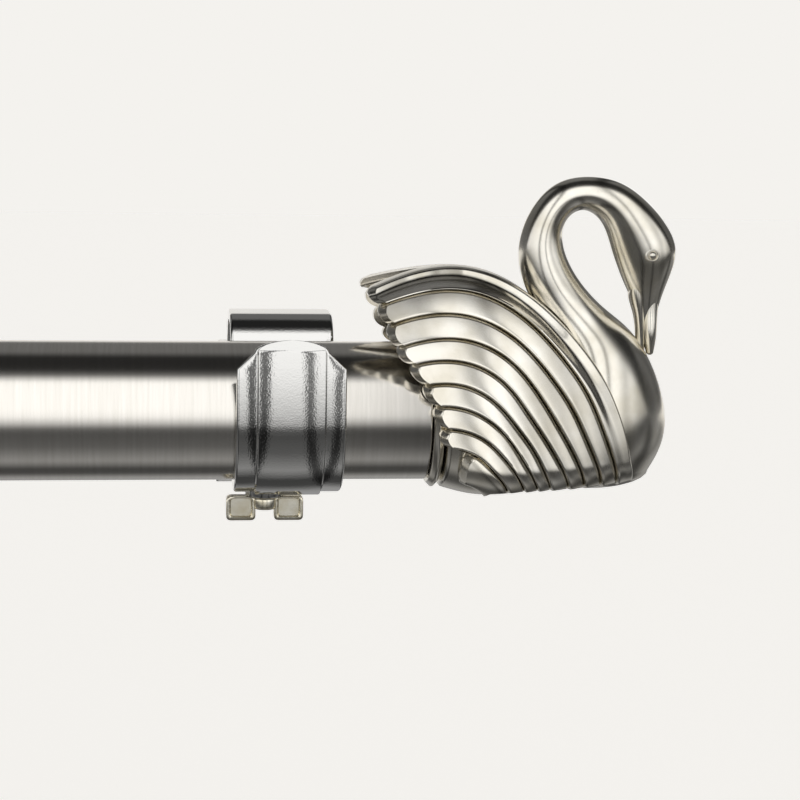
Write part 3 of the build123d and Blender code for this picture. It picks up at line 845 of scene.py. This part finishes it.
# How far a wing's surface stands out from the bird's middle
def wingSurface(x, z):
    s = swan
    forward = np.maximum(0.0, x - s["breastFrom"]) / s["breastReach"]
    under = np.maximum(0.0, s["bellyFrom"] - z) / s["bellyReach"]
    width = s["halfWidth"] * np.sqrt(np.maximum(0.05, 1.0 - forward**2 - under**2))
    spread = s["tailLean"] + (1 - s["tailLean"]) * smoothStep((x - s["tailStart"]) / s["tailReach"])
    return width - spread * s["lean"] * np.maximum(0.0, z - s["leanStart"]) ** 2


# How far the shoulder curls over the back at its upper edge, for each fan angle of the table
shoulderCurl = (0.2, 0.5, 1.0, 2.2, 4.8, 6.4, 5.4, 3.2)


# Height of a feather over the wing's surface: a steep rounded lower edge, then a gentle fall to the next one
def featherHeight(part, feather, last):
    s = swan
    rise = np.sqrt(np.maximum(0.0, 1 - (1 - np.minimum(part / s["edgeRound"], 1.0)) ** 2))
    fall = 1 - np.maximum(0.0, (part - s["edgeRound"]) / (1 - s["edgeRound"])) ** s["fallPower"]
    shingle = s["edgeHeight"] * rise * fall
    leaf = s["leafBulge"] * np.sqrt(np.maximum(0.0, 1 - (2 * part - 1) ** 2))
    outerEdge = np.maximum(0.0, (part - s["edgeStart"]) / (1 - s["edgeStart"]))
    shoulder = s["shoulderHeight"] * rise * (1 - s["shoulderTaper"] * part) - s["edgeFall"] * outerEdge**2
    toLine = np.where(feather == last, part, np.where(feather == 0, 1 - part, np.minimum(part, 1 - part)))
    groove = s["grooveDepth"] * np.maximum(0.0, 1 - toLine / s["grooveWidth"]) ** s["groovePower"]
    return np.where(feather == last, shoulder, np.where(feather == 0, leaf, shingle)) - groove


# Rows of points from the feathers' tips to their roots: the fan angle of each point, how far the tip has
# risen, and how far along the feather the row is
def featherRows(feather, inFeather, radiusAtTip, rootRadius):
    s = swan
    meanRadius = (radiusAtTip[feather] + radiusAtTip[feather + 1]) / 2
    tip = np.array(s["tipAngles"])
    baseTip = np.where(feather == 0, s["leafTip"],
                       tip[feather] * (1 - inFeather) + tip[feather + 1] * inFeather)
    fromMiddle = np.abs(2 * inFeather - 1)
    scallop = s["tipRound"] * fromMiddle ** s["tipPower"] / np.maximum(meanRadius, s["tipLeastRadius"])
    tipAngle = baseTip + np.degrees(s["tipReach"] / meanRadius) - np.degrees(scallop)
    rootAngle = np.degrees(np.arcsin(np.minimum(s["rootMostSine"], s["rootDepth"] / rootRadius)))
    turnRadius = np.maximum(meanRadius, s["turnLeastRadius"])
    rows = []
    for step in s["tipSteps"]:
        rows.append((tipAngle - np.degrees(step * s["tipSlope"] / turnRadius), min(step, 1.0), 0.0))
    first = rows[-1][0]
    for part in np.linspace(0, 1, s["alongFeather"])[1:] ** s["alongPower"]:
        rows.append((first + (rootAngle - first) * part, 1.0, part))
    return rows


# One wing: an outer face of nine feathers and a plain inner face, joined all round
def makeWing(work, way):
    s = swan
    angles = np.array(list(featherLines))
    table = np.array(list(featherLines.values()))
    last = table.shape[1] - 2
    feather = np.append(np.repeat(np.arange(last + 1), len(s["acrossFeather"])), last)
    inFeather = np.array(list(s["acrossFeather"]) * (last + 1) + [1.0])
    radiusAtTip = smoothCurve(angles, table, np.full(1, s["tipAngle"]))[0]
    rootRadius = table[0][feather] * (1 - inFeather) + table[0][feather + 1] * inFeather
    curling = smoothStep((inFeather - s["curlStart"]) / (s["curlEnd"] - s["curlStart"]))
    height = featherHeight(inFeather, feather, last)
    wide = len(feather)
    outerRows, innerRows = [], []
    for angle, ramp, part in featherRows(feather, inFeather, radiusAtTip, rootRadius):
        radii = smoothCurve(angles, table, np.clip(angle, angles[0], angles[-1]))
        index = np.arange(wide)
        radius = radii[index, feather] * (1 - inFeather) + radii[index, feather + 1] * inFeather
        x = s["fanRoot"][0] + radius * np.cos(np.radians(angle))
        z = s["fanRoot"][1] + radius * np.sin(np.radians(angle))
        curl = np.where(feather == last, np.interp(angle, angles, shoulderCurl) * curling, 0.0)
        body = wingSurface(x, z) - curl
        sink = np.clip((part - s["sinkFrom"]) / (1 - s["sinkFrom"]), 0, 1) ** 2
        outer = body + height - s["tipDrop"] * (1 - ramp) - s["sinkDepth"] * sink
        inner = np.maximum(body - s["thickness"], s["innerLeast"])
        pocket = np.sqrt(np.maximum(0.0, s["rodClearance"] ** 2 - z**2))
        overRod = np.maximum(inner, np.minimum(pocket, outer - s["pocketSkin"]))
        inner = np.minimum(np.where(x < s["rodEnd"], overRod, inner), outer - s["leastSkin"])
        outerRows.append(np.stack([x, way * outer, z], 1))
        innerRows.append(np.stack([x, way * inner, z], 1))
    total = len(outerRows)
    other = total * wide
    faces = []
    for sheet in (0, other):
        for i in range(total - 1):
            for j in range(wide - 1):
                a = sheet + i * wide + j
                faces.append((a, a + 1, a + wide + 1, a + wide))
    for i in range(total - 1):
        for a in (i * wide, i * wide + wide - 1):
            faces.append((a, a + wide, a + wide + other, a + other))
    for j in range(wide - 1):
        for a in (j, (total - 1) * wide + j):
            faces.append((a, a + 1, a + 1 + other, a + other))
    addMesh(work, [tuple(point) for point in np.concatenate(outerRows + innerRows)], faces)


# The collar's bead round the rod's end, and the disc with the stud's hole behind it
def addCollar(work):
    s = swan
    start, end, bore, inside = s["collarGap"], s["collarThickness"], s["collarBore"], s["collarInner"]
    bead = rounded([(start, bore), (start + s["collarStep"], bore + s["collarStep"]),
                    ((start + end) / 2, s["collarRadius"]), (end, bore), (end, inside), (start, inside)],
                   s["collarRound"], 3)
    turned(work, bead + bead[:1], Vector((0, 0, 0)))
    hole, wall = s["studHole"], s["studWall"]
    turned(work, [(start, hole), (start, wall), (end, wall), (end, hole), (start, hole)], Vector((0, 0, 0)))


# An eyeball with a raised lid round it
def addEye(work, way):
    s = swan
    x, y, z = s["eyePlace"]
    bmesh.ops.create_uvsphere(work, u_segments=s["eyeCount"], v_segments=s["eyeCount"] // 2,
                              radius=s["eyeBall"], matrix=Matrix.Translation((x, way * y, z)))
    count, sides = s["lidCount"], s["lidSides"]
    points, faces = [], []
    for i in range(count):
        turn = 2 * math.pi * i / count
        here, after = i * sides, (i + 1) % count * sides
        for j in range(sides):
            roll = 2 * math.pi * j / sides
            reach = s["eyeRadius"] + s["lidRadius"] * math.cos(roll)
            out = y + s["lidLift"] + s["lidRadius"] * math.sin(roll)
            points.append((x + reach * math.cos(turn), way * out,
                           z + reach * math.sin(turn) * s["lidSquash"]))
            k = (j + 1) % sides
            faces.append((here + j, here + k, after + k, after + j))
    addMesh(work, points, faces)


def makeSwan(name, end, flip, node, body):
    work = bmesh.new()
    addEye(work, -1)
    addEye(work, 1)
    for loft in swanLofts:
        birdLoft(work, **loft)
    makeWing(work, -1)
    makeWing(work, 1)
    addCollar(work)
    for vertex in work.verts:
        x, y, z = vertex.co
        vertex.co = (end.x + flip * x * mm, end.y + y * mm, end.z + z * mm)
    item = finishMesh(name, work, "finial", swan["smoothAngle"])
    print(name, "faces:", len(item.data.polygons))
    replaceNode(item, node, body)


makeSwan("rightSwan", rightEnd, 1, "right_swan_finial", "right_finial")
makeSwan("leftSwan", leftEnd, -1, "left_swan_finial", "left_finial")
print("swans made")

# Camera at the photograph's angle, aimed at a point beside the right end of the front rod, in mm
view = dict(azimuth=-7.0, elevation=10.5, distance=380.0, lens=92.6, roll=1.3, aimX=-4.5, aimZ=1.9)


def placeCamera():
    data = bpy.data.cameras.new("photoCamera")
    data.lens = view["lens"]
    data.sensor_width = 36.0
    data.clip_start = 0.01
    camera = bpy.data.objects.new("photoCamera", data)
    collection.objects.link(camera)
    azimuth, elevation = math.radians(view["azimuth"]), math.radians(view["elevation"])
    level = math.cos(elevation)
    back = Vector((math.sin(azimuth) * level, -math.cos(azimuth) * level, math.sin(elevation)))
    aim = rightEnd + Vector((view["aimX"], 0, view["aimZ"])) * mm
    camera.location = aim + back * view["distance"] * mm
    camera.rotation_mode = "QUATERNION"
    roll = Quaternion((0, 0, 1), math.radians(view["roll"]))
    camera.rotation_quaternion = (-back).to_track_quat("-Z", "Y") @ roll
    bpy.context.scene.camera = camera


placeCamera()

# Studio: a broad soft light in front and above, with dimmer and dark bands round it as cards give. The stops
# are angles round the rods, 0 in front, 90 overhead, 180 at the wall and -90 below, with the brightness
# there. The bars say how bright each band is along X, from -1 at the left to 1 at the right.
studio = dict(
    stops=((-180, 0.16), (-165, 0.34), (-135, 0.34), (-115, 0.07), (-100, 0.06), (-80, 0.3), (-52, 0.12),
           (-28, 0.08), (-19, 0.12), (-9, 0.7), (1, 1.2), (12, 1.3), (56, 1.3), (70, 0.12), (80, 0.02),
           (108, 0.02), (122, 0.16), (180, 0.16)),
    bars=((-1.0, 0.7), (-0.42, 1.0), (-0.36, 0.15), (-0.27, 0.15), (-0.22, 1.0), (0.24, 1.0), (0.28, 0.2),
          (0.35, 0.2), (0.41, 1.0), (0.62, 1.0), (0.8, 0.5), (0.9, 0.8), (1.0, 0.35)),
    strength=1.24, pale="#f4f2ee", floorDrop=0.32, floorSize=8.0, floorLift=0.676,
    skyBehind=(0.93, 0.99), floorBehind=(0.9, 1.8),
)


# The pale backdrop is for camera and transmission rays, and for glossy ones where it stands behind the
# object. It fades in between two limits along Y: the ray's direction in the world, metres on the floor.
def backdropRays(tree, along, limits):
    path = addNode(tree, "ShaderNodeLightPath")
    behind = addNode(tree, "ShaderNodeMapRange", None, {"From Min": limits[0], "From Max": limits[1]},
                     {"Value": along})
    direct = addNode(tree, "ShaderNodeMath", {"operation": "MAXIMUM"},
                     links={0: path.outputs["Is Camera Ray"], 1: path.outputs["Is Transmission Ray"]})
    return addNode(tree, "ShaderNodeMath", {"operation": "MULTIPLY_ADD", "use_clamp": True},
                   links={0: path.outputs["Is Glossy Ray"], 1: behind, 2: direct})


def lightStudio():
    world = bpy.data.worlds.new("studio")
    bpy.context.scene.world = world
    world.use_nodes = True
    tree = world.node_tree
    tree.nodes.clear()
    coords = addNode(tree, "ShaderNodeTexCoord")
    parts = addNode(tree, "ShaderNodeSeparateXYZ", links={"Vector": coords.outputs["Generated"]})
    towards = addNode(tree, "ShaderNodeMath", {"operation": "MULTIPLY"}, {1: -1.0}, {0: parts.outputs["Y"]})
    angle = addNode(tree, "ShaderNodeMath", {"operation": "ARCTAN2"},
                    links={0: parts.outputs["Z"], 1: towards})
    turn = addNode(tree, "ShaderNodeMapRange", None, {"From Min": -math.pi, "From Max": math.pi},
                   {"Value": angle})
    across = addNode(tree, "ShaderNodeMapRange", None, {"From Min": -1.0, "From Max": 1.0},
                     {"Value": parts.outputs["X"]})
    brightest = max(level for degrees, level in studio["stops"])
    bandStops = [((degrees + 180) / 360, (level / brightest,) * 3 + (1.0,))
                 for degrees, level in studio["stops"]]
    barStops = [((place + 1) / 2, (level,) * 3 + (1.0,)) for place, level in studio["bars"]]
    bands = addNode(tree, "ShaderNodeValToRGB", links={"Fac": turn}, stops=bandStops)
    bars = addNode(tree, "ShaderNodeValToRGB", links={"Fac": across}, stops=barStops)
    barred = addNode(tree, "ShaderNodeVectorMath", {"operation": "MULTIPLY"}, links={0: bands, 1: bars})
    around = addNode(tree, "ShaderNodeBackground", None, {"Strength": studio["strength"]}, {"Color": barred})
    plain = addNode(tree, "ShaderNodeBackground", None, {"Color": linear(studio["pale"]), "Strength": 1.0})
    seen = backdropRays(tree, parts.outputs["Y"], studio["skyBehind"])
    mixed = addNode(tree, "ShaderNodeMixShader", links={0: seen, 1: around, 2: plain})
    addNode(tree, "ShaderNodeOutputWorld", links={"Surface": mixed})


def layFloor():
    material = bpy.data.materials.new("paleFloor")
    material.use_nodes = True
    tree = material.node_tree
    tree.nodes.clear()
    pale = linear(studio["pale"])
    paint = addNode(tree, "ShaderNodeBsdfDiffuse", None, {"Color": pale})
    glow = addNode(tree, "ShaderNodeEmission", None, {"Color": pale, "Strength": studio["floorLift"]})
    lifted = addNode(tree, "ShaderNodeAddShader", links={0: paint, 1: glow})
    clear = addNode(tree, "ShaderNodeBsdfTransparent")
    coords = addNode(tree, "ShaderNodeTexCoord")
    parts = addNode(tree, "ShaderNodeSeparateXYZ", links={"Vector": coords.outputs["Object"]})
    seen = backdropRays(tree, parts.outputs["Y"], studio["floorBehind"])
    mixed = addNode(tree, "ShaderNodeMixShader", links={0: seen, 1: clear, 2: lifted})
    addNode(tree, "ShaderNodeOutputMaterial", links={"Surface": mixed})
    half = studio["floorSize"] / 2
    level = cadLow.z - studio["floorDrop"]
    corners = [(-half, -half, level), (half, -half, level), (half, half, level), (-half, half, level)]
    mesh = bpy.data.meshes.new("floor")
    mesh.from_pydata(corners, [], [(0, 1, 2, 3)])
    mesh.materials.append(material)
    floor = bpy.data.objects.new("floor", mesh)
    collection.objects.link(floor)


lightStudio()
layFloor()
bpy.context.scene.view_settings.view_transform = "Standard"
print("studio ready")
